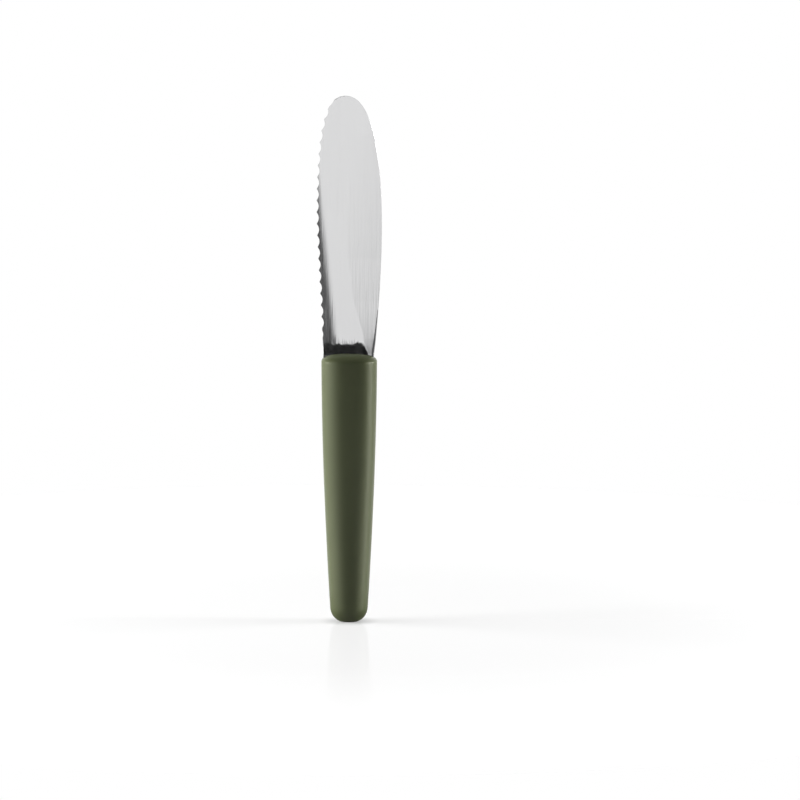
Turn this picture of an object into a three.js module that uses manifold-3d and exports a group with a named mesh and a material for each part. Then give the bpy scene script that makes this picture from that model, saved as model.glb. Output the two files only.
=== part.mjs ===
// Butter spreader: a broad steel blade with a round tip and one scalloped edge, in a tapering moulded handle.
// Millimetres. +Z runs from the butt to the tip, -X is the scalloped side, and -Y is the front.
import * as THREE from "three";
import { mergeVertices } from "three/addons/utils/BufferGeometryUtils.js";
import Module from "manifold-3d";

// Handle outside
const HANDLE_LENGTH = 122.6; // butt face to the top of the crown
const TOP_WIDTH = 25.2;
const TOP_DEPTH = 16;
const BUTT_WIDTH = 16.2;
const BUTT_DEPTH = 13.2;
const TAPER_POWER = 1.8; // 1 is a straight taper, more keeps the upper handle parallel
const TOP_SQUARENESS = 2.6; // exponent of the section's superellipse, 2 is an ellipse
const BUTT_SQUARENESS = 2.1;
const CROWN_RISE = 3.9; // height of the domed top
const CROWN_FLAT_WIDTH = 3;
const CROWN_FULLNESS = 2.3; // exponent of the dome's outline, 2 is an ellipse
const BUTT_RISE = 6.5; // height of the rounded end
const BUTT_FLAT_WIDTH = 8; // the face that it stands on
const BUTT_CORNER = 1.7; // height at which the slopes of the face's edge and of the side would meet

// Handle inside
const SKIN_WALL = 2.6;
const SKIN_END_WALL = 6; // at the butt and at the crown
const CORE_SIDE_WALL = 3; // core beside the edges of the tang
const CORE_FOOT = 23; // core below the end of the tang
const KEY_DEPTH = 0.8; // ribs of the skin that key into the core
const KEY_WIDTH = 4;
const PEG_DIAMETER = 4.6;
const PEG_COUNT = 3;
const PEG_END_MARGIN = 11; // from the first and last peg to the ends of the tang
const PEG_ENGAGEMENT = 2; // length of each peg inside the back core
const CLEARANCE = 0.2; // all round, between pieces that fit inside each other

// Blade outline, heights above the top of the crown
const BLADE_LENGTH = 117.4;
const TIP_OFFSET = 1.7; // the tip's highest point, from the axis towards the scalloped edge
const TIP_ROUNDNESS = 0.7; // share of the half width that the tip's tangents reach
const WAIST_ROUNDNESS = 0.27; // share of the height between heel and widest point that stays straight
const SCALLOPED_REACH = 14.75; // axis to the edge where it is widest
const SCALLOPED_WIDEST = 66;
const SCALLOPED_BELLY = 0.75; // share of the height above the widest point that stays full
const SCALLOPED_HEEL = 11.85; // axis to the edge at the crown
const SCALLOPED_SLOPE = 0.02; // how fast the edge opens above the crown
const PLAIN_REACH = 14.7;
const PLAIN_WIDEST = 57;
const PLAIN_BELLY = 0.6;
const PLAIN_HEEL = 11.3;
const PLAIN_SLOPE = 0.115;
const RICASSO_DEPTH = 3.3; // top of the crown down to the shoulders of the tang

// Blade thickness and grinding
const STOCK = 1.6; // thickness of the sheet, left whole at the tang
const GRIND_DEPTH = 0.25; // taken off each face of the blade
const WHEEL_RADIUS = 42; // of the wheel whose run-out shows above the crown
const EDGE_ROUND_DEPTH = 0.5; // rounding of the stamped edges, through the thickness
const EDGE_ROUND_WIDTH = 0.35; // and across the face
const EDGE_ROUND_LIMIT = 0.45; // largest share of the stock that a rounding may take from one side
const BAND_LENGTH = 93; // of the tapered band on the front, along the scalloped edge
const BAND_HEEL_WIDTH = 4.8; // width of that band at the crown
const BAND_TILT = THREE.MathUtils.degToRad(4.35);

// Scallops, ground from the back
const SCALLOP_PITCH = 5.3;
const SCALLOP_DEPTH = 0.85; // stamped edge to valley, on the front face
const TOOTH_LAND = 0.5; // blunt tip left between two scallops
const SCALLOP_START = 5; // along the edge, tip of the blade to the first tooth
const SCALLOP_HEEL = 6.2; // along the edge, last tooth to the crown
const END_LIFT = 0.5; // the first and last scallops are this much shallower
const FLUTE_ANGLE = THREE.MathUtils.degToRad(25); // between the flutes and the face

// Smoothness
const RING_POINTS = 48;
const BODY_RINGS = 12;
const END_RINGS = 8;
const CURVE_POINTS = 20;
const EDGE_ROUND_STEPS = 2;
const FLUTE_FACETS = 80;

const SEAT = HANDLE_LENGTH - RICASSO_DEPTH; // the tang's shoulders
const TANG_END = SKIN_END_WALL + CLEARANCE + CORE_FOOT;
const GROUND = STOCK - 2 * GRIND_DEPTH; // thickness of the ground blade
const SLOT_HALF = STOCK / 2 + CLEARANCE; // half the thickness of the space round the tang
const BEYOND = 4; // cutting shapes run past what they cut by this much
const WELD = 1e-4; // vertices closer than this are one

const wasm = await Module();
wasm.setup();

const steel = new THREE.MeshStandardMaterial({ color: 0xd2d3d4, roughness: 0.28, metalness: 1 });
const greenSkin = new THREE.MeshStandardMaterial({ color: 0x4a4f3b, roughness: 0.55, metalness: 0 });
const darkNylon = new THREE.MeshStandardMaterial({ color: 0x2f302d, roughness: 0.6, metalness: 0 });

// A closed three.js geometry as a solid that can be joined and cut.
function solidOf(geometry) {
  const bare = geometry.clone();
  bare.deleteAttribute("normal");
  bare.deleteAttribute("uv");
  const merged = mergeVertices(bare, WELD);
  const mesh = new wasm.Mesh({
    numProp: 3,
    vertProperties: new Float32Array(merged.attributes.position.array),
    triVerts: new Uint32Array(merged.index.array),
  });
  return new wasm.Manifold(mesh);
}

// A finished solid as a named three.js mesh.
function meshOf(name, solid, material) {
  const { vertProperties, triVerts } = solid.getMesh();
  const geometry = new THREE.BufferGeometry();
  geometry.setAttribute("position", new THREE.BufferAttribute(vertProperties, 3));
  geometry.setIndex(new THREE.BufferAttribute(triVerts, 1));
  geometry.computeVertexNormals();
  const mesh = new THREE.Mesh(geometry, material);
  mesh.name = name;
  return mesh;
}

// How far the handle has opened from its butt size (0) to its top size (1) at height z.
function taperAt(z) {
  return 1 - (1 - z / HANDLE_LENGTH) ** TAPER_POWER;
}

function handleHalfWidth(z) {
  return THREE.MathUtils.lerp(BUTT_WIDTH, TOP_WIDTH, taperAt(z)) / 2;
}

// One superellipse section of the handle, drawn in from the outside by inset and then scaled.
function handleRing(z, inset = 0, scale = 1) {
  const taper = taperAt(z);
  const halfWidth = (handleHalfWidth(z) - inset) * scale;
  const halfDepth = (THREE.MathUtils.lerp(BUTT_DEPTH, TOP_DEPTH, taper) / 2 - inset) * scale;
  const exponent = THREE.MathUtils.lerp(BUTT_SQUARENESS, TOP_SQUARENESS, taper);
  return Array.from({ length: RING_POINTS }, (_, i) => {
    const angle = (2 * Math.PI * i) / RING_POINTS;
    const across = Math.cos(angle);
    const deep = Math.sin(angle);
    const sum = Math.abs(across / halfWidth) ** exponent + Math.abs(deep / halfDepth) ** exponent;
    const radius = sum ** (-1 / exponent);
    return new THREE.Vector3(radius * across, radius * deep, z);
  });
}

// A closed loft through rings of equal length, listed upwards, with flat ends.
function loft(rings) {
  const count = rings[0].length;
  const last = (rings.length - 1) * count;
  const bottom = rings.length * count;
  const top = bottom + 1;
  const points = rings.flat();
  points.push(new THREE.Vector3(0, 0, rings[0][0].z));
  points.push(new THREE.Vector3(0, 0, rings.at(-1)[0].z));
  const faces = [];
  for (let i = 0; i < count; i++) {
    const next = (i + 1) % count;
    faces.push(bottom, next, i, top, last + i, last + next);
    for (let low = 0; low < last; low += count) {
      const high = low + count;
      faces.push(low + i, low + next, high + i, low + next, high + next, high + i);
    }
  }
  return new THREE.BufferGeometry().setFromPoints(points).setIndex(faces);
}

// Sections of the domed crown, from its flat top towards the full section: depth below the top, and scale.
function crownEnd() {
  const flat = CROWN_FLAT_WIDTH / TOP_WIDTH;
  return Array.from({ length: END_RINGS }, (_, i) => {
    const turn = ((i / END_RINGS) * Math.PI) / 2;
    const height = CROWN_RISE * (1 - Math.cos(turn) ** (2 / CROWN_FULLNESS));
    const scale = flat + (1 - flat) * Math.sin(turn) ** (2 / CROWN_FULLNESS);
    return { height, scale };
  });
}

// Sections of the butt, from the face that it stands on: a curve that leaves it gently and ends upright.
function buttEnd() {
  const face = new THREE.Vector2(BUTT_FLAT_WIDTH / BUTT_WIDTH, 0);
  const corner = new THREE.Vector2(1, BUTT_CORNER);
  const side = new THREE.Vector2(1, BUTT_RISE);
  const profile = new THREE.QuadraticBezierCurve(face, corner, side).getPoints(END_RINGS);
  return profile.slice(0, -1).map(({ x, y }) => ({ height: y, scale: x }));
}

// The outside of the handle: rounded butt, long taper and domed crown.
function handleOutside() {
  const butt = buttEnd();
  const crown = crownEnd().reverse();
  const body = Array.from({ length: BODY_RINGS + 1 }, (_, i) => {
    return THREE.MathUtils.lerp(BUTT_RISE, HANDLE_LENGTH - CROWN_RISE, i / BODY_RINGS);
  });
  return loft([
    ...butt.map(({ height, scale }) => handleRing(height, 0, scale)),
    ...body.map((z) => handleRing(z)),
    ...crown.map(({ height, scale }) => handleRing(HANDLE_LENGTH - height, 0, scale)),
  ]);
}

// Heights of the pegs, evenly spaced along the tang.
function pegHeights() {
  const first = TANG_END + PEG_END_MARGIN;
  const last = SEAT - PEG_END_MARGIN;
  return Array.from({ length: PEG_COUNT }, (_, i) => THREE.MathUtils.lerp(first, last, i / (PEG_COUNT - 1)));
}

// The space inside the skin, keyed by a rib half way between each two pegs.
// With a gap it is the core, which is smaller all round and has wider grooves for the ribs.
function handleInside(gap) {
  const inset = SKIN_WALL + gap;
  const levels = [{ z: SKIN_END_WALL + gap, inset }];
  const pegs = pegHeights();
  for (let i = 1; i < pegs.length; i++) {
    const middle = (pegs[i - 1] + pegs[i]) / 2;
    const half = KEY_WIDTH / 2 + gap;
    levels.push({ z: middle - half, inset });
    levels.push({ z: middle - half, inset: inset + KEY_DEPTH });
    levels.push({ z: middle + half, inset: inset + KEY_DEPTH });
    levels.push({ z: middle + half, inset });
  }
  levels.push({ z: HANDLE_LENGTH - SKIN_END_WALL - gap, inset });
  const rings = [];
  const stepHeight = HANDLE_LENGTH / BODY_RINGS;
  levels.slice(0, -1).forEach((low, i) => {
    const high = levels[i + 1];
    const steps = Math.max(1, Math.round((high.z - low.z) / stepHeight));
    for (let k = 0; k < steps; k++) {
      rings.push(handleRing(THREE.MathUtils.lerp(low.z, high.z, k / steps), low.inset));
    }
  });
  const end = levels.at(-1);
  rings.push(handleRing(end.z, end.inset));
  return loft(rings);
}

// Half the width of the tang, which keeps its distance from the sides of the core.
function tangHalfWidth(z) {
  return handleHalfWidth(z) - SKIN_WALL - CLEARANCE - CORE_SIDE_WALL;
}

// The tang's outline from its left shoulder round its end to its right shoulder, widened by gap.
function tangOutline(gap) {
  const endRise = tangHalfWidth(TANG_END);
  const endCentre = TANG_END + endRise;
  const right = [];
  for (let i = 0; i < CURVE_POINTS; i++) {
    const turn = ((i - CURVE_POINTS) / CURVE_POINTS) * (Math.PI / 2);
    const across = (tangHalfWidth(endCentre) + gap) * Math.cos(turn);
    right.push(new THREE.Vector2(across, endCentre + (endRise + gap) * Math.sin(turn)));
  }
  for (let i = 0; i <= CURVE_POINTS; i++) {
    const z = THREE.MathUtils.lerp(endCentre, SEAT, i / CURVE_POINTS);
    right.push(new THREE.Vector2(tangHalfWidth(z) + gap, z));
  }
  const left = right.slice(1).reverse().map((p) => new THREE.Vector2(-p.x, p.y));
  return [...left, ...right];
}

// One edge of the blade from its tip to its heel: two curves that meet at the widest point.
function bladeEdge(side, reach, widest, fullness, heel, slope) {
  const tip = new THREE.Vector2(-TIP_OFFSET, HANDLE_LENGTH + BLADE_LENGTH);
  const belly = new THREE.Vector2(side * reach, HANDLE_LENGTH + widest);
  const base = new THREE.Vector2(side * heel, HANDLE_LENGTH);
  const tipArm = (belly.x - tip.x) * TIP_ROUNDNESS;
  const bellyArm = (BLADE_LENGTH - widest) * fullness;
  const waistArm = widest * WAIST_ROUNDNESS;
  const edge = new THREE.CurvePath();
  edge.add(
    new THREE.CubicBezierCurve(
      tip,
      new THREE.Vector2(tip.x + tipArm, tip.y),
      new THREE.Vector2(belly.x, belly.y + bellyArm),
      belly,
    ),
  );
  edge.add(
    new THREE.CubicBezierCurve(
      belly,
      new THREE.Vector2(belly.x, belly.y - waistArm),
      new THREE.Vector2(base.x + side * slope * waistArm, base.y + waistArm),
      base,
    ),
  );
  return edge;
}

const scallopedEdge = bladeEdge(
  -1,
  SCALLOPED_REACH,
  SCALLOPED_WIDEST,
  SCALLOPED_BELLY,
  SCALLOPED_HEEL,
  SCALLOPED_SLOPE,
);
const plainEdge = bladeEdge(1, PLAIN_REACH, PLAIN_WIDEST, PLAIN_BELLY, PLAIN_HEEL, PLAIN_SLOPE);

// A flat outline drawn in X and Z, given a thickness that is centred on Y = 0.
function sheet(shape, thickness, roundDepth = 0, roundWidth = 0) {
  const geometry = new THREE.ExtrudeGeometry(shape, {
    depth: thickness - 2 * roundDepth,
    bevelEnabled: roundDepth > 0,
    bevelThickness: roundDepth,
    bevelSize: roundWidth,
    bevelOffset: -roundWidth,
    bevelSegments: EDGE_ROUND_STEPS,
    curveSegments: CURVE_POINTS,
  });
  geometry.translate(0, 0, roundDepth - thickness / 2);
  return geometry.rotateX(Math.PI / 2);
}

// The stamping: blade, ricasso and tang in one outline, with the peg holes.
function stamping() {
  const outline = [
    ...tangOutline(0),
    new THREE.Vector2(PLAIN_HEEL, SEAT),
    ...plainEdge.getPoints(CURVE_POINTS).reverse(),
    ...scallopedEdge.getPoints(CURVE_POINTS).slice(1),
    new THREE.Vector2(-SCALLOPED_HEEL, SEAT),
  ];
  const shape = new THREE.Shape(outline);
  for (const z of pegHeights()) {
    shape.holes.push(new THREE.Path().absarc(0, z, PEG_DIAMETER / 2 + CLEARANCE, 0, 2 * Math.PI, true));
  }
  const roundDepth = Math.min(EDGE_ROUND_DEPTH, EDGE_ROUND_LIMIT * STOCK);
  return solidOf(sheet(shape, STOCK, roundDepth, EDGE_ROUND_WIDTH));
}

// What the wheel takes off one face: flat along the blade, running out on the wheel's curve at the crown.
function faceGrind(side) {
  const floor = GROUND / 2;
  const outside = floor + BEYOND;
  const runOut = Math.acos(1 - GRIND_DEPTH / WHEEL_RADIUS);
  const tangent = HANDLE_LENGTH + WHEEL_RADIUS * Math.sin(runOut);
  const leave = Math.acos(1 - BEYOND / 2 / WHEEL_RADIUS);
  const top = HANDLE_LENGTH + BLADE_LENGTH + BEYOND;
  const profile = new THREE.Shape();
  profile.moveTo(floor, tangent);
  profile.absarc(floor + WHEEL_RADIUS, tangent, WHEEL_RADIUS, Math.PI, Math.PI + leave, false);
  profile.lineTo(outside, tangent - WHEEL_RADIUS * Math.sin(leave));
  profile.lineTo(outside, top);
  profile.lineTo(floor, top);
  const width = 2 * (Math.max(SCALLOPED_REACH, PLAIN_REACH) + BEYOND);
  const geometry = new THREE.ExtrudeGeometry(profile, {
    depth: width,
    bevelEnabled: false,
    curveSegments: CURVE_POINTS,
  });
  geometry.translate(0, 0, -width / 2);
  const outwards = new THREE.Vector3(0, side, 0);
  const upwards = new THREE.Vector3(0, 0, 1);
  const across = new THREE.Vector3().crossVectors(outwards, upwards);
  return geometry.applyMatrix4(new THREE.Matrix4().makeBasis(outwards, upwards, across));
}

// The inner line of the tapered band, from the scalloped edge down to the crown.
const bandStart = scallopedEdge.getPointAt(1 - BAND_LENGTH / scallopedEdge.getLength());
const bandHeel = new THREE.Vector2(BAND_HEEL_WIDTH - SCALLOPED_HEEL, HANDLE_LENGTH);
const bandAlong = bandHeel.clone().sub(bandStart).normalize();

// Depth of the band below the front face at a point of the blade.
function bandDepth(point) {
  const towardsEdge = new THREE.Vector2(bandAlong.y, -bandAlong.x);
  const distance = point.clone().sub(bandStart).dot(towardsEdge);
  return Math.max(0, distance) * Math.tan(BAND_TILT);
}

// The same grind as on the front face, turned about the band's inner line.
function bandGrind() {
  const hinge = new THREE.Matrix4().makeTranslation(bandStart.x, -GROUND / 2, bandStart.y);
  const axis = new THREE.Vector3(bandAlong.x, 0, bandAlong.y);
  const turn = new THREE.Matrix4().makeRotationAxis(axis, BAND_TILT);
  return faceGrind(-1).applyMatrix4(hinge.clone().invert()).applyMatrix4(turn).applyMatrix4(hinge);
}

// The round wheels that cut the scallops, rising from the front face at the edge to the back face inside it.
function scallopWheels() {
  const edgeLength = scallopedEdge.getLength();
  const toothedLength = edgeLength - SCALLOP_START - SCALLOP_HEEL;
  const count = Math.round(toothedLength / SCALLOP_PITCH);
  const pitch = toothedLength / count;
  const rise = Math.sin(FLUTE_ANGLE);
  const run = Math.cos(FLUTE_ANGLE);
  const sagitta = SCALLOP_DEPTH * rise;
  const halfChord = (pitch - TOOTH_LAND) / 2;
  const radius = (halfChord ** 2 + sagitta ** 2) / (2 * sagitta);
  const reach = GROUND / rise + BEYOND;
  const back = new THREE.Vector3(0, 1, 0);
  return Array.from({ length: count }, (_, i) => {
    const share = (SCALLOP_START + (i + 0.5) * pitch) / edgeLength;
    const point = scallopedEdge.getPointAt(share);
    const along = scallopedEdge.getTangentAt(share);
    const inwards = new THREE.Vector2(-along.y, along.x);
    const lift = i === 0 || i === count - 1 ? END_LIFT : 0;
    const valley = point.clone().addScaledVector(inwards, SCALLOP_DEPTH - lift);
    const axis = new THREE.Vector3(run * inwards.x, rise, run * inwards.y);
    const away = new THREE.Vector3(-rise * inwards.x, run, -rise * inwards.y);
    const centre = new THREE.Vector3(valley.x, bandDepth(valley) - GROUND / 2, valley.y);
    centre.addScaledVector(away, radius);
    const wheel = new THREE.CylinderGeometry(radius, radius, 2 * reach, FLUTE_FACETS);
    wheel.applyQuaternion(new THREE.Quaternion().setFromUnitVectors(back, axis));
    return wheel.translate(centre.x, centre.y, centre.z);
  });
}

// Blade: the stamping with both faces ground, a band tapered on the front and scallops cut from the back.
function blade() {
  const cuts = [faceGrind(-1), faceGrind(1), bandGrind(), ...scallopWheels()];
  return cuts.reduce((solid, cut) => solid.subtract(solidOf(cut)), stamping());
}

// The space round the tang, and the wide slot in the crown that the blade's shoulders seat in.
function bladeSpace() {
  const tang = sheet(new THREE.Shape(tangOutline(CLEARANCE)), 2 * SLOT_HALF);
  const width = SCALLOPED_HEEL + PLAIN_HEEL + 2 * CLEARANCE;
  const height = RICASSO_DEPTH + CLEARANCE + BEYOND;
  const slot = new THREE.BoxGeometry(width, 2 * SLOT_HALF, height);
  slot.translate((PLAIN_HEEL - SCALLOPED_HEEL) / 2, 0, SEAT - CLEARANCE + height / 2);
  return solidOf(tang).add(solidOf(slot));
}

// Skin: one moulding over the core, with the slots in its crown.
function handleSkin() {
  return solidOf(handleOutside()).subtract(solidOf(handleInside(0))).subtract(bladeSpace());
}

// One half of the core, on the front (-1) or back (1) of the parting plane, with its half of the tang space.
function coreHalf(side) {
  const half = new THREE.BoxGeometry(2 * TOP_WIDTH, TOP_DEPTH, 2 * HANDLE_LENGTH);
  half.translate(0, (side * TOP_DEPTH) / 2, 0);
  return solidOf(handleInside(CLEARANCE)).intersect(solidOf(half)).subtract(bladeSpace());
}

// Round bars across the handle at the height of each peg, between two places on Y.
function pegBars(diameter, front, back) {
  return pegHeights().map((z) => {
    const bar = new THREE.CylinderGeometry(diameter / 2, diameter / 2, back - front, RING_POINTS / 2);
    return solidOf(bar.translate(0, (front + back) / 2, z));
  });
}

// Front core: carries the pegs.
function coreFront() {
  const root = -SLOT_HALF - PEG_ENGAGEMENT / 2;
  const pegs = pegBars(PEG_DIAMETER, root, SLOT_HALF + PEG_ENGAGEMENT);
  return pegs.reduce((solid, peg) => solid.add(peg), coreHalf(-1));
}

// Back core: has the sockets that the pegs end in.
function coreBack() {
  const sockets = pegBars(PEG_DIAMETER + 2 * CLEARANCE, 0, SLOT_HALF + PEG_ENGAGEMENT + CLEARANCE);
  return sockets.reduce((solid, socket) => solid.subtract(socket), coreHalf(1));
}

const handle = new THREE.Group();
handle.add(meshOf("core_front", coreFront(), darkNylon));
handle.add(meshOf("core_back", coreBack(), darkNylon));
handle.add(meshOf("handle_skin", handleSkin(), greenSkin));

const spreader = new THREE.Group();
spreader.add(meshOf("blade", blade(), steel));
spreader.add(handle);

export default spreader;
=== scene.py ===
import math

import bmesh
import bpy
import numpy as np
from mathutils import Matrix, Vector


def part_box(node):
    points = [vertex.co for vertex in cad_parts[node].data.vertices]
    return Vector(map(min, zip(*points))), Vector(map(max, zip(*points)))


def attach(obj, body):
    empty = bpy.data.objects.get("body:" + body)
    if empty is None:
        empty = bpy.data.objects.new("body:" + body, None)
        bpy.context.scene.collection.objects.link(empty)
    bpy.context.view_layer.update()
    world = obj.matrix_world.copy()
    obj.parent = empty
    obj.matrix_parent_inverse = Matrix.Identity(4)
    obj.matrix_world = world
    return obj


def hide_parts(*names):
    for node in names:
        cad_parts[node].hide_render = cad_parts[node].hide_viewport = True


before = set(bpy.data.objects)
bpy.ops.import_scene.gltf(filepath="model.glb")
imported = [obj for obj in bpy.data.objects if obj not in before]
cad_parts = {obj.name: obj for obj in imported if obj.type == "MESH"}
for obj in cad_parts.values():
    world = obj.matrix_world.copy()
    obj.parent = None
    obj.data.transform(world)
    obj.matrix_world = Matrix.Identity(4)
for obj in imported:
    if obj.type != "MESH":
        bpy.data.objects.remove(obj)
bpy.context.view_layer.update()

# Blade
# One stamping of stainless steel sheet, ground thin on both faces so that fine lines run along it.
# Small wheels cut the scallops into its left edge from behind; its right edge is only rounded over.
# The grind runs out just above the handle, where the sheet keeps its thickness. Sizes are in mm.
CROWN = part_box("handle_skin")[1].z * 1000
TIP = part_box("blade")[1].z * 1000
TIP_OFFSET = 1.7
TIP_ROUNDNESS = 0.7
WAIST_ROUNDNESS = 0.27
CURVE_POINTS = 600
SEAT = CROWN - 3.3
GROUND = 1.1


def edge_line(side, reach, widest, belly, heel, slope):
    """One edge of the stamping from the tip to the seat, as points in X and Z.

    Two cubic curves meet upright at the widest place: the upper one leaves the tip level, and the
    lower one comes down to the crown with the given slope. A straight end goes on to the seat.
    """
    tip = np.array([-TIP_OFFSET, TIP])
    broad = np.array([side * reach, CROWN + widest])
    base = np.array([side * heel, CROWN])
    waist = widest * WAIST_ROUNDNESS
    beside_tip = tip + [(broad[0] - tip[0]) * TIP_ROUNDNESS, 0]
    above_broad = broad + [0, (TIP - broad[1]) * belly]
    below_broad = broad - [0, waist]
    above_base = base + [side * slope * waist, waist]
    t = np.linspace(0, 1, CURVE_POINTS)[:, None]
    shares = [(1 - t) ** 3, 3 * (1 - t) ** 2 * t, 3 * (1 - t) * t**2, t**3]
    shares = np.concatenate(shares, axis=1)
    upper = shares @ np.array([tip, beside_tip, above_broad, broad])
    lower = shares @ np.array([broad, below_broad, above_base, base])
    return np.concatenate([upper, lower[1:], [[base[0], SEAT]]])


def distances(line):
    """How far each point of a line is from its first point, along the line."""
    return np.concatenate([[0], np.cumsum(np.linalg.norm(np.diff(line, axis=0), axis=1))])


STEP = 0.05


def walk(line, along):
    """Points of a line at some distances along it, and the directions square to it on its left."""
    run = distances(line)
    before, here, after = (
        np.stack([np.interp(along + step, run, line[:, k]) for k in (0, 1)], axis=-1)
        for step in (-STEP, 0, STEP)
    )
    ahead = after - before
    ahead = ahead / np.linalg.norm(ahead, axis=-1, keepdims=True)
    return here, np.stack([-ahead[..., 1], ahead[..., 0]], axis=-1)


def smooth(low, high, value):
    """Rises smoothly from 0 at low to 1 at high, by 3 t squared less 2 t cubed."""
    t = np.clip((value - low) / (high - low), 0, 1)
    return t * t * (3 - 2 * t)


scalloped = edge_line(-1, reach=14.75, widest=66, belly=0.75, heel=11.85, slope=0.02)
plain = edge_line(1, reach=14.7, widest=57, belly=0.6, heel=11.3, slope=0.115)
scalloped_length = distances(scalloped)[-2]
plain_length = distances(plain)[-2]

# Rows across the blade lie at every tooth's point and at the ends of its land, and close together
# at the run-out. The last three go down to the seat.
SCALLOP_DEPTH = 0.85
SCALLOP_PITCH = 5.3
SCALLOP_START = 5.0
SCALLOP_HEEL = 6.2
END_LIFT = 0.5
TOOTH_LAND = 0.5
TIP_ROWS = 16
SCALLOP_ROWS = 13
HEEL_ROWS = 33
SEAT_ROWS = np.array([1.1, 2.2, 3.3])
GATHER = 1.6
toothed = scalloped_length - SCALLOP_START - SCALLOP_HEEL
teeth = round(toothed / SCALLOP_PITCH)
pitch = toothed / teeth
land = TOOTH_LAND / pitch / 2
one_scallop = np.concatenate([[0], np.linspace(land, 1 - land, SCALLOP_ROWS)])
rows = np.concatenate([
    SCALLOP_START * np.linspace(0, 1, TIP_ROWS + 1)[:-1] ** GATHER,
    (SCALLOP_START + pitch * (np.arange(teeth)[:, None] + one_scallop)).ravel(),
    np.linspace(scalloped_length - SCALLOP_HEEL, scalloped_length, HEEL_ROWS),
    scalloped_length + SEAT_ROWS,
])
left, inward = walk(scalloped, rows)
right, outward = walk(plain, np.where(
    rows < scalloped_length,
    rows * plain_length / scalloped_length,
    rows - scalloped_length + plain_length,
))
width = np.linalg.norm(right - left, axis=1)

# Each scallop is cut by a small wheel leaning over the edge, and the wheel's sag lifts the flute.
FLUTE_ANGLE = math.radians(25)
CUT_EDGE = 0.05
nearest = np.clip(np.floor((rows - SCALLOP_START) / pitch), 0, teeth - 1)
off_centre = rows - (SCALLOP_START + (nearest + 0.5) * pitch)
rise = SCALLOP_DEPTH * math.sin(FLUTE_ANGLE)
half_cut = (pitch - TOOTH_LAND) / 2
wheel = (half_cut**2 + rise**2) / (2 * rise)
sag = wheel - np.sqrt(np.maximum(wheel**2 - off_centre**2, 0))
valley = SCALLOP_DEPTH - END_LIFT * ((nearest == 0) | (nearest == teeth - 1))
edge = np.maximum(0, valley - sag / math.sin(FLUTE_ANGLE))

# The wheel leaves upright lines, which make the borders of its cuts ragged.
STREAK_WIDTH = 0.4
STREAK_LENGTH = 9.0
STREAKS_LEFT = 17
STREAKS_BELOW = 5
streaks = np.random.default_rng(612).normal(0, 1, (18, 90))


def streak(place):
    """How strongly a grinding line marks a place.

    Random values lie at the corners of upright cells and are joined evenly across them.
    """
    aside = (place[..., 0] + STREAKS_LEFT) / STREAK_WIDTH
    up = (place[..., 1] - SEAT + STREAKS_BELOW) / STREAK_LENGTH
    i, j = aside.astype(int), up.astype(int)
    aside, up = aside - i, up - j
    low = streaks[j, i] * (1 - aside) + streaks[j, i + 1] * aside
    high = streaks[j + 1, i] * (1 - aside) + streaks[j + 1, i + 1] * aside
    return low + up * (high - low)


def eased(past, ease):
    """A ramp whose slope grows evenly from 0 to 1 over the first stretch, then stays the same."""
    past = np.maximum(0, past)
    return np.where(past < ease, past**2 / (2 * ease), past - ease / 2)


# The band beside the scallops is laid back on the wheel, wider towards the heel.
BAND_LENGTH = 94
BAND_HEEL = 8.2
BAND_TILT = math.tan(math.radians(5.5))
BAND_EASE = 4.4
BAND_RAGGEDNESS = 0.06
band_top = walk(scalloped, np.array([scalloped_length - BAND_LENGTH]))[0][0]
band_foot = np.array([scalloped[-1, 0] + BAND_HEEL, CROWN])


def band(place):
    """Depth of the band, an eased ramp at its tilt left of the line from its top to its foot."""
    ahead = (band_foot - band_top) / np.linalg.norm(band_foot - band_top)
    past = (place - band_top) @ np.array([ahead[1], -ahead[0]])
    return BAND_TILT * eased(past + BAND_RAGGEDNESS * streak(place), BAND_EASE)


# Right of a seam the front leans back towards the plain edge.
SEAM_HEIGHTS = CROWN + np.array([-0.2, 1.6, 3.4, 5.4, 9.4, 17.1, 24.0, 33.2, 43.4])
SEAM_PLACES = np.array([7.8, 7.1, 6.4, 5.9, 5.3, 2.9, 1.0, 0.1, -1.5])
SEAM_EASE = 1.2
LEAN_HEIGHTS = CROWN + np.array([0, 4, 7, 10, 18, 25, 34, 100])
LEANS = np.tan(np.radians([4.3, 3.7, 2.95, 2.75, 2.17, 2.0, 1.8, 0]))


def past_seam(place):
    """How far a place is to the right of the seam, whose places are joined by straight lines."""
    return place[..., 0] - np.interp(place[..., 1], SEAM_HEIGHTS, SEAM_PLACES)


def lean(place):
    """How far the front falls back right of the seam: an eased ramp, steeper at the crown."""
    return np.interp(place[..., 1], LEAN_HEIGHTS, LEANS) * eased(past_seam(place), SEAM_EASE)


# Left of the seam the grind ends in a steep hollow, which starts higher at both of its sides.
RUN_OUT = 4.9
RUN_OUT_BELOW = 1.0
RUN_OUT_RISE = 0.43
RUN_OUT_EASE = 0.25
RIGHT_START = 0.8
BAND_START = 1.0
START_RAGGEDNESS = 0.35
RIGHT_RAGGEDNESS = 0.6
RIGHT_FADE = (2, 5)
BAND_FADE = (-9, -6)
SEAM_FADE = (-1.6, 0.9)
LINE_STRETCH = 0.5
LINE_HEIGHT = SEAT + 4


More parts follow.
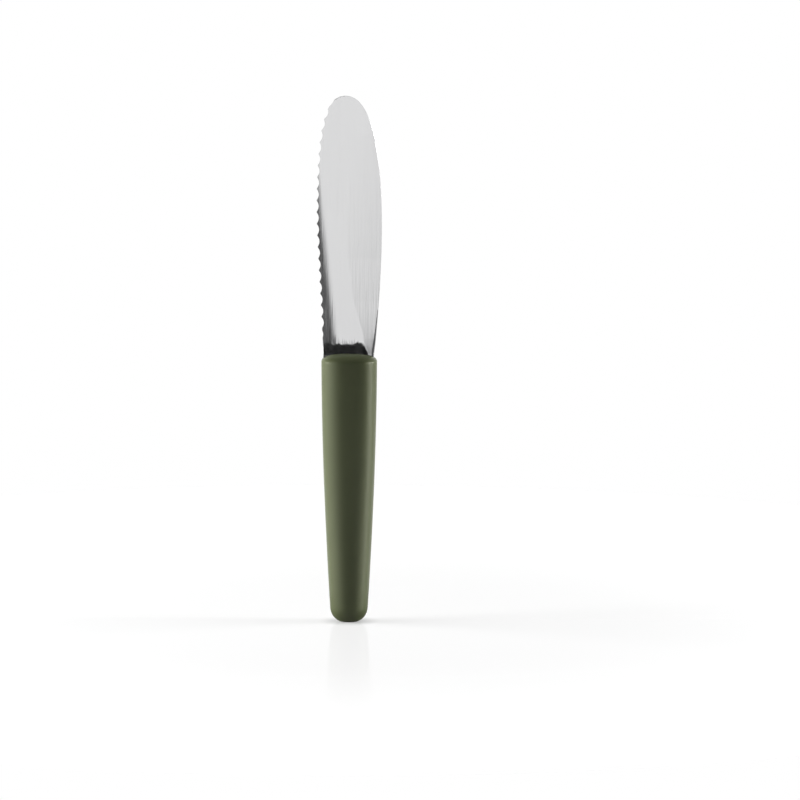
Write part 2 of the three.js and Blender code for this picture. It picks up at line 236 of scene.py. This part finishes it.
def run_out(place):
    """How much thicker the sheet gets left of the seam, from a ragged line above the crown down.

    It grows evenly with the share of the way to a line below the crown, after an eased start.
    """
    right_half = smooth(*RIGHT_FADE, place[..., 0])
    under_band = 1 - smooth(*BAND_FADE, place[..., 0])
    lines = streak(place * [LINE_STRETCH, 0] + [0, LINE_HEIGHT])
    ragged = RIGHT_START * right_half + BAND_START * under_band
    ragged = ragged + lines * (START_RAGGEDNESS + RIGHT_RAGGEDNESS * right_half)
    share = (CROWN + RUN_OUT + ragged - place[..., 1]) / (RUN_OUT + ragged + RUN_OUT_BELOW)
    share = np.clip(share, 0, 1)
    steep = RUN_OUT_RISE * eased(share, RUN_OUT_EASE) / (1 - RUN_OUT_EASE / 2)
    return steep * (1 - smooth(*SEAM_FADE, past_seam(place)))


# Both edges are rounded over, the right one most at the heel.
LEFT_ROUND = 0.1
LEAST_ROUND = 1e-6
ROUND_HEIGHTS = CROWN + np.array([2, 20, 50])
RIGHT_ROUNDS = [1.2, 0.16, 0.1]
ROUND_SHARE = 0.3
ROUND_DEPTH = 0.42
ROUND_COLUMNS = 6
FLAT_COLUMNS = 112
BARE_OUTSIDE = 1.5
BARE_INSIDE = 0.5
left_round = np.minimum(LEFT_ROUND, ROUND_SHARE * width)
right_round = np.interp(right[:, 1], ROUND_HEIGHTS, RIGHT_ROUNDS)
right_round = np.minimum(right_round, ROUND_SHARE * width)
over_edge = np.linspace(0, math.pi / 2, ROUND_COLUMNS + 1)


def across(inset):
    """Places on every row: inset from the left edge, straight over, and out over the right edge."""
    near = left[:, None] + inset[..., None] * inward[:, None]
    far = right - right_round[:, None] * outward
    share = np.linspace(0, 1, FLAT_COLUMNS + 1)[1:-1, None]
    flat = near[:, -1:] + share * (far - near[:, -1])[:, None]
    short = right_round[:, None] * (1 - np.sin(over_edge))
    over = right[:, None] - short[..., None] * outward[:, None]
    return np.concatenate([near, flat, over], axis=1)


def edge_drop(inset, columns):
    """How far a face falls at its edges: quarter ellipses, the left one where no scallops are."""
    first, last = SCALLOP_START, scalloped_length - SCALLOP_HEEL
    bare = 1 - smooth(first - BARE_OUTSIDE, first + BARE_INSIDE, rows)
    bare = bare + smooth(last - BARE_INSIDE, last + BARE_OUTSIDE, rows)
    reach = np.clip(1 - inset / left_round.clip(LEAST_ROUND)[:, None], 0, 1)
    drop = np.zeros((len(rows), columns))
    drop[:, : inset.shape[1]] = bare[:, None] * (1 - np.sqrt(1 - reach**2))
    drop[:, -len(over_edge):] += 1 - np.cos(over_edge)
    return ROUND_DEPTH * drop


# Columns gather at the scalloped edge: on the back they follow the flutes as far as their crease.
EDGE_ZONE = 4.6
ZONE_SHARE = 0.45
FLUTE_COLUMNS = 7
EDGE_COLUMNS = 16
CREASE_NEAREST = 0.02
CREASE_FARTHEST = 0.9
zone = np.minimum(EDGE_ZONE, ZONE_SHARE * width)
valley_place = left + valley[:, None] * inward
cut_level = band(valley_place) - GROUND / 2 + CUT_EDGE
lift = (GROUND / 2 - cut_level) * math.cos(FLUTE_ANGLE) - sag
crease = valley + lift / math.sin(FLUTE_ANGLE)
crease = np.clip(crease, edge + CREASE_NEAREST * zone, CREASE_FARTHEST * zone)


def between(low, high, share):
    """Insets on every row, at some shares of the way from one inset to another."""
    return low[:, None] + (high - low)[:, None] * share


front_inset = between(edge, zone, np.linspace(0, 1, EDGE_COLUMNS + 1) ** GATHER)
back_inset = np.concatenate([
    between(edge, crease, np.linspace(0, 1, FLUTE_COLUMNS + 1)),
    between(crease, zone, np.linspace(0, 1, EDGE_COLUMNS - FLUTE_COLUMNS + 1)[1:]),
], axis=1)

front = across(front_inset)
front_level = (
    band(front)
    + lean(front)
    + edge_drop(front_inset, front.shape[1])
    - run_out(front)
    - GROUND / 2
)
back = across(back_inset)
back_level = GROUND / 2 + run_out(back) - edge_drop(back_inset, back.shape[1])
flute = (back_inset - valley[:, None]) * math.sin(FLUTE_ANGLE) + sag[:, None]
flute = cut_level[:, None] + flute / math.cos(FLUTE_ANGLE)
back_level[:, : flute.shape[1]] = np.minimum(back_level[:, : flute.shape[1]], flute)

# The two edges meet at the tip, where each face ends in a point at the level of its rounded edge.
front_level[0] = front_level[0, -1]
back_level[0] = back_level[0, -1]


def solid_rings(faces, levels):
    """Closed rings round a sheet: along its front to the right, then along its back to the left."""
    front_ring, back_ring = (
        np.insert(place, 1, level, axis=2) for place, level in zip(faces, levels)
    )
    return np.concatenate([front_ring, back_ring[:, ::-1]], axis=1)


def net(rings):
    """Faces with four corners between each ring and the next, the rings being closed."""
    count, size, _ = rings.shape
    low = np.arange((count - 1) * size).reshape(count - 1, size)
    return np.stack([low, np.roll(low, -1, 1), np.roll(low, -1, 1) + size, low + size], axis=-1)


MERGE_DISTANCE = 1e-8
SHARP_ANGLE = math.radians(18)


def closed_piece(name, points, faces):
    """A smooth object from points in mm and their faces, with points that lie together merged."""
    mesh = bpy.data.meshes.new(name)
    mesh.from_pydata((points.reshape(-1, 3) / 1000).tolist(), [], faces.reshape(-1, 4).tolist())
    made = bmesh.new()
    made.from_mesh(mesh)
    bmesh.ops.remove_doubles(made, verts=made.verts, dist=MERGE_DISTANCE)
    made.to_mesh(mesh)
    made.free()
    mesh.shade_smooth()
    mesh.set_sharp_from_angle(angle=SHARP_ANGLE)
    piece = bpy.data.objects.new(name, mesh)
    bpy.context.scene.collection.objects.link(piece)
    return piece


# The tang below the seat is three blocks, one round each hole for a peg of the core. It keeps
# inside the sides of the handle, so the handle's taper is given here.
BUTT_WIDTH = 16.2
ADDED_WIDTH = 9
TAPER = 1.8
TANG_END = 29.2
TANG_HALF = 0.8
TANG_INSET = 5.8
TANG_OVERLAP = 0.5
TANG_LOOPS = 6
PEG_HOLE = 2.5
PEG_HEIGHTS = [40.2, 74.25, 108.3]
BORDER_STEPS = 24
BOTTOM, TOP = 0, 2


def opened(height):
    """How far the handle has opened at a height: 1 less the power of (1 less the share up)."""
    return 1 - (1 - height / CROWN) ** TAPER


def tang_half(height):
    """Half the tang's width, which is the handle's less an inset."""
    return (BUTT_WIDTH + ADDED_WIDTH * opened(height)) / 2 - TANG_INSET


def tang_block(peg, low, high, end_rise):
    """Loops of one block: from the hole out to the border in front, and back to the hole behind.

    The border runs leftwards along the bottom, which bulges down by the end's rise, up the left
    side, along the top and down the right side. Each point of the hole lies in the direction of
    its border point.
    """
    share = np.linspace(0, 1, BORDER_STEPS + 1)[:-1]
    bulge = math.pi * share
    up, down = low + (high - low) * share, high + (low - high) * share
    x = np.concatenate([
        tang_half(low) * np.cos(bulge),
        -tang_half(up),
        -tang_half(high) * np.cos(bulge),
        tang_half(down),
    ])
    z = np.concatenate([low - end_rise * np.sin(bulge), up, np.full(BORDER_STEPS, high), down])
    towards = np.arctan2(z - peg, x)
    hole = np.stack([np.cos(towards), np.sin(towards)], axis=1) * PEG_HOLE + [0, peg]
    border = np.stack([x, z], axis=1)
    loops = hole + np.linspace(0, 1, TANG_LOOPS)[:, None, None] * (border - hole)
    before, behind = (np.insert(loops, 1, side * TANG_HALF, axis=2) for side in (-1, 1))
    return np.concatenate([before, behind[::-1], before[:1]])


end_rise = tang_half(TANG_END)
middles = np.convolve(PEG_HEIGHTS, [0.5, 0.5], "valid")
breaks = [TANG_END + end_rise, *middles, SEAT + TANG_OVERLAP]
blade_rings = solid_rings((front, back), (front_level, back_level))[::-1]
column = np.arange(blade_rings.shape[1] // 2 - 1)
opposite = blade_rings.shape[1] - 1 - column
seat_faces = np.stack([opposite, opposite - 1, column + 1, column], axis=-1)
blade_points = [blade_rings.reshape(-1, 3)]
blade_faces = [net(blade_rings).reshape(-1, 4), seat_faces]

# Where two blocks meet, the walls between their front and back borders are left out.
wall = np.arange(4 * BORDER_STEPS) // BORDER_STEPS
for k, peg in enumerate(PEG_HEIGHTS):
    loops = tang_block(peg, breaks[k], breaks[k + 1], end_rise if k == 0 else 0)
    faces = net(loops)
    shared = ((wall == BOTTOM) & (k > 0)) | ((wall == TOP) & (k < len(PEG_HEIGHTS) - 1))
    inside = (np.arange(len(faces)) == TANG_LOOPS - 1)[:, None] & shared
    blade_faces.append(faces[~inside] + sum(map(len, blade_points)))
    blade_points.append(loops.reshape(-1, 3))
blade = closed_piece("ground_blade", np.concatenate(blade_points), np.concatenate(blade_faces))


class Shade:
    """A shader socket to write arithmetic on: each operator adds the Math node of its name."""

    def __init__(self, tree, socket=None):
        self.tree = tree
        self.socket = socket

    def node(self, kind, settings=None, sockets=None, output=0):
        """Any node: its settings are set first, then the values or links of its sockets."""
        made = self.tree.nodes.new(kind)
        for name, value in (settings or {}).items():
            setattr(made, name, value)
        for name, value in (sockets or {}).items():
            if isinstance(value, Shade):
                self.tree.links.new(value.socket, made.inputs[name])
            else:
                made.inputs[name].default_value = value
        return Shade(self.tree, made.outputs[output])

    def math(self, operation, *values):
        return self.node("ShaderNodeMath", {"operation": operation}, dict(enumerate(values)))

    def __add__(self, other):
        return self.math("ADD", self, other)

    def __radd__(self, other):
        return self.math("ADD", other, self)

    def __sub__(self, other):
        return self.math("SUBTRACT", self, other)

    def __rsub__(self, other):
        return self.math("SUBTRACT", other, self)

    def __mul__(self, other):
        return self.math("MULTIPLY", self, other)

    def __rmul__(self, other):
        return self.math("MULTIPLY", other, self)

    def __abs__(self):
        return self.math("ABSOLUTE", self)

    def step(self, low, high):
        """Rises smoothly from 0 at low to 1 at high."""
        ends = {"Value": self, "From Min": low, "From Max": high}
        return self.node("ShaderNodeMapRange", {"interpolation_type": "SMOOTHSTEP"}, ends)

    def span(self, rise, fall):
        """1 between two soft ends: it rises over the first stretch and falls over the second."""
        return self.step(*rise) * (1 - self.step(*fall))

    def along(self, axis):
        """One coordinate of a place."""
        return self.node("ShaderNodeSeparateXYZ", sockets={0: self}, output=axis)

    def noise(self, grain, detail=2.0):
        """Noise whose grain has the given sizes along X, Y and Z, in metres."""
        finer = tuple(1 / size for size in grain)
        place = self.node("ShaderNodeVectorMath", {"operation": "MULTIPLY"}, {0: self, 1: finer})
        sockets = {"Vector": place, "Scale": 1.0, "Detail": detail}
        return self.node("ShaderNodeTexNoise", sockets=sockets)

    def blend(self, low, high):
        """A colour between two, this value being the share of the second."""
        return self.node("ShaderNodeMix", {"data_type": "RGBA"}, {0: self, 6: low, 7: high}, 2)

    def bump(self, depth, strength=1.0):
        """The normal of a surface that this value raises by up to a depth in metres."""
        sockets = {"Height": self, "Strength": strength, "Distance": depth}
        return self.node("ShaderNodeBump", sockets=sockets)

    def into(self, shader, name):
        self.tree.links.new(self.socket, shader.inputs[name])


def finish_on(piece, name, fixed):
    """A new material on a piece with some fixed values: its Object coordinates and its shader."""
    material = bpy.data.materials.new(name)
    material.use_nodes = True
    piece.data.materials.clear()
    piece.data.materials.append(material)
    shader = material.node_tree.nodes["Principled BSDF"]
    for socket, value in fixed.items():
        shader.inputs[socket].default_value = value
    return Shade(material.node_tree).node("ShaderNodeTexCoord", output="Object"), shader


FINE_GRAIN = (0.00030, 0.00030, 0.030)
BROAD_GRAIN = (0.00080, 0.00080, 0.016)
DULL_STEEL = (0.69, 0.69, 0.695, 1)
BRIGHT_STEEL = (0.76, 0.76, 0.765, 1)
LINE_DEPTH = 0.9e-5
place, shader = finish_on(blade, "ground_steel", {"Metallic": 1.0, "Anisotropic": 0.3})
fine_lines = place.noise(FINE_GRAIN, 3.0)
broad_lines = place.noise(BROAD_GRAIN)

# Painted shade: darker streaks in the base colour stand like hairs above the run-out, standing in
# for the streaky dark reflection there; fewer with height and longest by the band.
PAINTED_DARK_REFLECTION = (0.17, 0.17, 0.17, 1)
PAINTED_STREAK_STRENGTH = 0.65
PAINTED_STREAK_FOOT = 0.1266
PAINTED_STREAK_LOSS = 85.0
PAINTED_STREAK_LOSS_BY_BAND = 0.22
PAINTED_STREAK_BAND_FADE = (-0.009, -0.002)
PAINTED_STREAK_SEAM_FADE = (0.005, 0.007)
PAINTED_STREAK_HEIGHTS = ((0.1255, 0.1270), (0.130, 0.140))
PAINTED_STREAK_CONTRAST = (0.42, 0.54)
aside, height = place.along("X"), place.along("Z")
painted_streak_noise = place.noise(FINE_GRAIN, 1.0)
loss = PAINTED_STREAK_LOSS_BY_BAND + (1 - PAINTED_STREAK_LOSS_BY_BAND) * aside.step(*PAINTED_STREAK_BAND_FADE)
rarer = PAINTED_STREAK_LOSS * (height - PAINTED_STREAK_FOOT) * loss
left_of_seam = 1 - aside.step(*PAINTED_STREAK_SEAM_FADE)
painted_dark_streaks = left_of_seam * height.span(*PAINTED_STREAK_HEIGHTS) * (painted_streak_noise - rarer).step(*PAINTED_STREAK_CONTRAST)
steel = fine_lines.blend(DULL_STEEL, BRIGHT_STEEL)
# The painted dark streaks darken the steel's base colour here, and roughen it a little.
(PAINTED_STREAK_STRENGTH * painted_dark_streaks).blend(steel, PAINTED_DARK_REFLECTION).into(shader, "Base Color")
(0.09 + 0.07 * fine_lines + 0.05 * painted_dark_streaks).into(shader, "Roughness")
(0.6 * fine_lines + 1.4 * broad_lines).bump(LINE_DEPTH).into(shader, "Normal")
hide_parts("blade")
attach(blade, "root")

# Core halves
# Two rigid nylon mouldings clamp the tang inside the handle, with pegs through its holes.
# The skin is moulded over both, so nothing of them shows from outside.
FLOW_GRAIN = (0.003, 0.003, 0.012)
NYLON_GRAIN = (0.0004, 0.0004, 0.0004)
NYLON_RELIEF = 1e-5
DARK_NYLON = (0.024, 0.025, 0.023, 1)
PALE_NYLON = (0.034, 0.035, 0.032, 1)
for half in ("core_front", "core_back"):
    name = "moulded_nylon_" + half
    place, shader = finish_on(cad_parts[half], name, {"Specular IOR Level": 0.4})
    flow = place.noise(FLOW_GRAIN)
    flow.blend(DARK_NYLON, PALE_NYLON).into(shader, "Base Color")
    (0.5 + 0.12 * flow).into(shader, "Roughness")
    place.noise(NYLON_GRAIN).bump(NYLON_RELIEF).into(shader, "Normal")

# Handle skin
# One soft-touch moulding in matte olive green over the core, from a rounded butt to a domed crown.
# It tapers in a gentle curve, its section opening from an oval to a rounded rectangle. Sizes are
# in mm, and the handle's width and taper are given with the tang.
BUTT_DEPTH = 13.2
ADDED_DEPTH = 2.8
BUTT_SQUARENESS = 2.1
ADDED_SQUARENESS = 0.5
BUTT_RISE = 6.5
BUTT_CORNER = 1.7
BUTT_FLAT = 8 / BUTT_WIDTH
CROWN_HALF_WIDTH = 12.6
CROWN_HALF_DEPTH = 8
CROWN_SQUARENESS = 2.6
CROWN_RISE = 3.9
CROWN_FLAT = 1.5 / CROWN_HALF_WIDTH
CROWN_FULLNESS = 2.3
RING = 192
angles = np.arange(RING) * 2 * math.pi / RING


def oval(half_width, half_depth, squareness):
    """Points round superellipses: the powers of x and y over their half sizes add up to 1."""
    aside, ahead = np.cos(angles), np.sin(angles)
    power = np.asarray(squareness, float)[..., None]
    reach = (abs(aside) ** power + abs(ahead) ** power) ** (-1 / power)
    x = np.asarray(half_width)[..., None] * aside * reach
    y = np.asarray(half_depth)[..., None] * ahead * reach
    return np.stack([x, y], axis=-1)


def handle_rings(height, inset=0.0, scale=1.0):
    """Sections of the handle at some heights, whose sizes grow as far as the handle has opened."""
    height, inset, scale = np.broadcast_arrays(np.asarray(height, float), inset, scale)
    share = opened(height)
    half_width = ((BUTT_WIDTH + ADDED_WIDTH * share) / 2 - inset) * scale
    half_depth = ((BUTT_DEPTH + ADDED_DEPTH * share) / 2 - inset) * scale
    outline = oval(half_width, half_depth, BUTT_SQUARENESS + ADDED_SQUARENESS * share)
    return np.insert(outline, 2, height[..., None], axis=-1)


def crown_height(outline):
    """Height of the crown over a place, a superellipse of the distance from its flat top."""
    aside = abs(outline[..., 0] / CROWN_HALF_WIDTH) ** CROWN_SQUARENESS
    ahead = abs(outline[..., 1] / CROWN_HALF_DEPTH) ** CROWN_SQUARENESS
    away = (aside + ahead) ** (1 / CROWN_SQUARENESS)
    away = np.clip((away - CROWN_FLAT) / (1 - CROWN_FLAT), 0, 1)
    return CROWN - CROWN_RISE * (1 - (1 - away**CROWN_FULLNESS) ** (1 / CROWN_FULLNESS))


SLOT_SQUARENESS = 14.0


def slot(half_width, half_depth, centre):
    """The outline of a slot, an oval so square that it is a rectangle with small round corners."""
    return oval(half_width, half_depth, SLOT_SQUARENESS) + [centre, 0]


def ring_at(outline, height):
    """An outline made one ring at a height."""
    return np.insert(outline, 2, height, axis=-1)[None]


# Outside: the rounded butt, the body, the dome and the lip of the mouth that the blade stands in.
BUTT_RINGS = 30
BODY_RINGS = 60
DOME_RINGS = 40
DOME_GATHER = 1.7
LIP_RINGS = 5
LIP = 0.18
MOUTH_HALF_WIDTH = 11.775
MOUTH_HALF_DEPTH = 1.0
MOUTH_CENTRE = -0.275
up = np.linspace(0, 1, BUTT_RINGS)
butt = handle_rings(
    2 * up * (1 - up) * BUTT_CORNER + up**2 * BUTT_RISE,
    scale=(1 - up) ** 2 * BUTT_FLAT + 2 * up * (1 - up) + up**2,
)
body = handle_rings(np.linspace(BUTT_RISE, CROWN - CROWN_RISE, BODY_RINGS)[1:])
rim = body[-1][:, :2]
mouth = slot(MOUTH_HALF_WIDTH, MOUTH_HALF_DEPTH, MOUTH_CENTRE)
lip_edge = slot(MOUTH_HALF_WIDTH + LIP, MOUTH_HALF_DEPTH + LIP, MOUTH_CENTRE)
inwards = (np.linspace(0, 1, DOME_RINGS)[1:] ** DOME_GATHER)[:, None, None]
dome = rim + inwards * (lip_edge - rim)
dome = np.concatenate([dome, crown_height(dome)[..., None]], axis=-1)
bend = np.linspace(0, math.pi / 2, LIP_RINGS)[1:, None, None]
lip = lip_edge + np.sin(bend) * (mouth - lip_edge)
lip_height = crown_height(lip_edge) - LIP * (1 - np.cos(bend[..., 0]))
lip = np.concatenate([lip, lip_height[..., None]], axis=-1)

# Inside: the mouth, the way for the tang, and the hollow round the core with its two ribs. The
# ends of a rib are steps, so there are two rings at each.
MOUTH_FLOOR = SEAT - 0.2
TANG_WAY_HALF_WIDTH = 7.0
TANG_WAY_HALF_DEPTH = 0.95
HOLLOW_TOP = 116.6
HOLLOW_FLOOR = 6
WALL = 2.6
RIB_DEPTH = 0.8
RIBS = [(89.275, 93.275), (55.225, 59.225)]
tang_way = slot(TANG_WAY_HALF_WIDTH, TANG_WAY_HALF_DEPTH, 0)
rib_levels = [np.repeat(np.linspace(high, low, 3), [2, 1, 2]) for low, high in RIBS]
levels = np.concatenate([[HOLLOW_TOP], *rib_levels, [HOLLOW_FLOOR]])
at_rib = np.concatenate([[0], *[[0, 1, 1, 1, 0]] * len(RIBS), [0]])
skin_rings = np.concatenate([
    np.zeros((1, RING, 3)),
    butt,
    body,
    dome,
    lip,
    ring_at(mouth, MOUTH_FLOOR),
    ring_at(tang_way, MOUTH_FLOOR),
    ring_at(tang_way, HOLLOW_TOP),
    handle_rings(levels, WALL + RIB_DEPTH * at_rib),
    ring_at(np.zeros((RING, 2)), HOLLOW_FLOOR),
])
skin = closed_piece("handle_moulding", skin_rings, net(skin_rings))

TINT_GRAIN = (0.010, 0.010, 0.016)
MATTE_GRAIN = (0.0006, 0.0006, 0.0006)
MATTE_RELIEF = 1e-5
DARK_GREEN = (0.075, 0.087, 0.041, 1)
PALE_GREEN = (0.087, 0.101, 0.048, 1)
place, shader = finish_on(skin, "matte_green_moulding", {
    "Specular IOR Level": 0.5,
    "Specular Tint": (1, 0.98, 0.92, 1),
})
place.noise(TINT_GRAIN).blend(DARK_GREEN, PALE_GREEN).into(shader, "Base Color")
matte = place.noise(MATTE_GRAIN)
(0.35 + 0.08 * matte).into(shader, "Roughness")
matte.bump(MATTE_RELIEF, strength=0.5).into(shader, "Normal")
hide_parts("handle_skin")
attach(skin, "root")

# Floor
# A white sheet that the spreader stands on: it takes a soft shadow and a faint mirror image by the
# butt and is plain white away from it. Its glow to the camera is lower within 15 mm of the butt, a
# painted contact shadow on top of the real one. The handle and the blade mirror its sides as white
# too.
FLOOR_RADIUS = 400
FLOOR_RINGS = 12
FLOOR_INNER = 0.15
SHADOW_GLOW = 0.34
PAINTED_SHADOW_DEPTH = 0.30
PAINTED_SHADOW_FADE = (0.003, 0.015)
FAR_GLOW = 0.08
FAR_FADE = (0.1, 0.3)
SIDE_GLOW = 0.85
SIDE_FADE = (0.02, 0.08)
GLANCE = 0.1
GLANCE_DEPTHS = ((-0.31, 0.0), (0.0, 0.02))
BLACK, WHITE = (0, 0, 0, 1), (1, 1, 1, 1)
spread = np.concatenate([[0], np.linspace(FLOOR_INNER, 1, FLOOR_RINGS)]) * FLOOR_RADIUS
circle = np.stack([np.cos(angles), np.sin(angles), 0 * angles], axis=-1)
floor_rings = spread[::-1, None, None] * circle
floor = closed_piece("white_floor", floor_rings, net(floor_rings))
place, shader = finish_on(floor, "white_sheet", {
    "Base Color": (0.36, 0.36, 0.36, 1),
    "Roughness": 0.9,
    "Emission Strength": 1.0,
})
away = place.node("ShaderNodeVectorMath", {"operation": "LENGTH"}, {0: place}, "Value")
camera_ray = place.node("ShaderNodeLightPath", output="Is Camera Ray")
mirror_ray = place.node("ShaderNodeLightPath", output="Is Glossy Ray")
# Painted contact shadow: the camera sees less glow within 15 mm of the butt's middle.
seen = SHADOW_GLOW + PAINTED_SHADOW_DEPTH * away.step(*PAINTED_SHADOW_FADE) + FAR_GLOW * away.step(*FAR_FADE)
sides = abs(place.along("X")).step(*SIDE_FADE)
glow = camera_ray * seen + SIDE_GLOW * mirror_ray * sides
glow.blend(BLACK, WHITE).into(shader, "Emission Color")
glance = camera_ray * GLANCE * place.along("Y").span(*GLANCE_DEPTHS)
mirror = place.node("ShaderNodeBsdfGlossy", sockets={"Color": WHITE, "Roughness": 0.1})
plain_sheet = Shade(place.tree, shader.outputs[0])
sheet = place.node("ShaderNodeMixShader", sockets={0: glance, 1: plain_sheet, 2: mirror})
sheet.into(place.tree.nodes["Material Output"], "Surface")

# Studio
# Two soft boxes at the sides and a weak one above light the pieces, which never mirror them. What
# they mirror is the world: a dark front with a white card low down in it for the blade's flat
# face, and a bright strip at each side, higher than upright metal looks, for the handle's sheen.
MIDDLE = (0, 0, 0.12)


def soft_box(name, azimuth, height, distance, size, strength):
    """A lamp at an azimuth from the front, turned to the middle; its strength is its brightness."""
    lamp = bpy.data.lights.new(name, "AREA")
    lamp.shape = "RECTANGLE"
    lamp.size, lamp.size_y = size
    lamp.energy = strength * math.pi * size[0] * size[1]
    stand = bpy.data.objects.new(name, lamp)
    stand.visible_glossy = False
    turn = math.radians(azimuth)
    stand.location = (distance * math.sin(turn), -distance * math.cos(turn), height)
    toward = np.array(MIDDLE) - np.array(stand.location)
    pitch_up = math.atan2(math.hypot(toward[0], toward[1]), -toward[2])
    stand.rotation_euler = (pitch_up, 0, math.atan2(-toward[0], toward[1]))
    bpy.context.scene.collection.objects.link(stand)


soft_box("left_soft_box", -92, height=0.3, distance=1.1, size=(0.8, 0.6), strength=19.5)
soft_box("right_soft_box", 94, height=0.3, distance=1.1, size=(0.5, 0.6), strength=18.5)
soft_box("top_soft_box", 0.15, height=1.5, distance=0.15, size=(1.2, 1.2), strength=0.25)

# Levels are brightnesses, and ends are soft borders in degrees of azimuth or elevation.
CARD_LEVEL = 0.905
CARD_RISE = 0.09
CARD_MIDDLE = -8.5
CARD_SIDE_ENDS = ((-9, -3), (2, 13))
CARD_UPRIGHT_ENDS = ((-17, -13), (-5.5, -4.0))
FRONT_LEVEL = 0.012
FRONT_SIDE_END = (50, 62)
FRONT_TOP_END = (30, 55)
LOW_FRONT_LEVEL = 0.09
LOW_FRONT_END = (-6, -3)
LEFT_FRONT_LEVEL = 0.9
LEFT_FRONT_END = (-32, -16)
LOW_LEVEL = 0.25
LOW_END = (-15, -10)
HIGH_LOSS = 0.85
HIGH_END = (35, 60)
RIGHT_STRIP_LEVEL = 20.0
RIGHT_STRIP_ENDS = ((44, 58), (76, 92))
LEFT_STRIP_LEVEL = 9.0
LEFT_STRIP_ENDS = ((-104, -88), (-44, -24))
STRIP_UPRIGHT_ENDS = ((-4, 0), (3, 14))
FILL = 0.01
DEGREES = 180 / math.pi
world = bpy.data.worlds.new("white_studio")
bpy.context.scene.world = world
world.use_nodes = True
view = Shade(world.node_tree).node("ShaderNodeTexCoord", output="Generated")
x, y, z = (view.along(axis) for axis in "XYZ")
azimuth = x.math("ARCTAN2", x, -1 * y) * DEGREES
elevation = z.math("ARCSINE", z) * DEGREES
card = azimuth.span(*CARD_SIDE_ENDS) * elevation.span(*CARD_UPRIGHT_ENDS)
card = card * (CARD_LEVEL + CARD_RISE * (elevation - CARD_MIDDLE))
dim = FRONT_LEVEL + LOW_FRONT_LEVEL * (1 - elevation.step(*LOW_FRONT_END))
dim = dim + LEFT_FRONT_LEVEL * (1 - azimuth.step(*LEFT_FRONT_END))
in_front = (1 - abs(azimuth).step(*FRONT_SIDE_END)) * (1 - elevation.step(*FRONT_TOP_END))
around = LOW_LEVEL + (1 - LOW_LEVEL) * elevation.step(*LOW_END)
around = around * (1 - HIGH_LOSS * elevation.step(*HIGH_END))
strips = RIGHT_STRIP_LEVEL * azimuth.span(*RIGHT_STRIP_ENDS)
strips = strips + LEFT_STRIP_LEVEL * azimuth.span(*LEFT_STRIP_ENDS)
strips = strips * elevation.span(*STRIP_UPRIGHT_ENDS)
mirrored = (1 - in_front) * around + in_front * (dim + card) + strips
camera_ray = view.node("ShaderNodeLightPath", output="Is Camera Ray")
mirror_ray = view.node("ShaderNodeLightPath", output="Is Glossy Ray")
unseen = mirror_ray * mirrored + (1 - mirror_ray) * FILL
background = world.node_tree.nodes["Background"]
background.inputs["Color"].default_value = WHITE
(camera_ray + (1 - camera_ray) * unseen).into(background, "Strength")

# Camera
# A long lens, a little above the middle of the spreader and straight in front of it. The spreader
# stands some pixels left of the picture's centre and above it.
TILT = math.radians(8.5)
ROLL = math.radians(0.1)
DISTANCE = 6.0
PIXEL = 0.4523e-3
PICTURE_WIDTH = 800
SENSOR_WIDTH = 36
PIXELS_LEFT = 50.8
PIXELS_ABOVE = 40.75
lens = bpy.data.cameras.new("long_lens")
lens.lens = SENSOR_WIDTH * (DISTANCE / PIXEL) / PICTURE_WIDTH
lens.clip_end = 50
camera = bpy.data.objects.new("camera", lens)
aim = (PIXELS_LEFT * PIXEL, 0, MIDDLE[2] - PIXELS_ABOVE * PIXEL / math.cos(TILT))
camera.location = (aim[0], -DISTANCE * math.cos(TILT), aim[2] + DISTANCE * math.sin(TILT))
camera.rotation_euler = (math.pi / 2 - TILT, -ROLL * math.cos(TILT), ROLL * math.sin(TILT))
bpy.context.scene.collection.objects.link(camera)
bpy.context.scene.camera = camera
bpy.context.scene.view_settings.view_transform = "Standard"
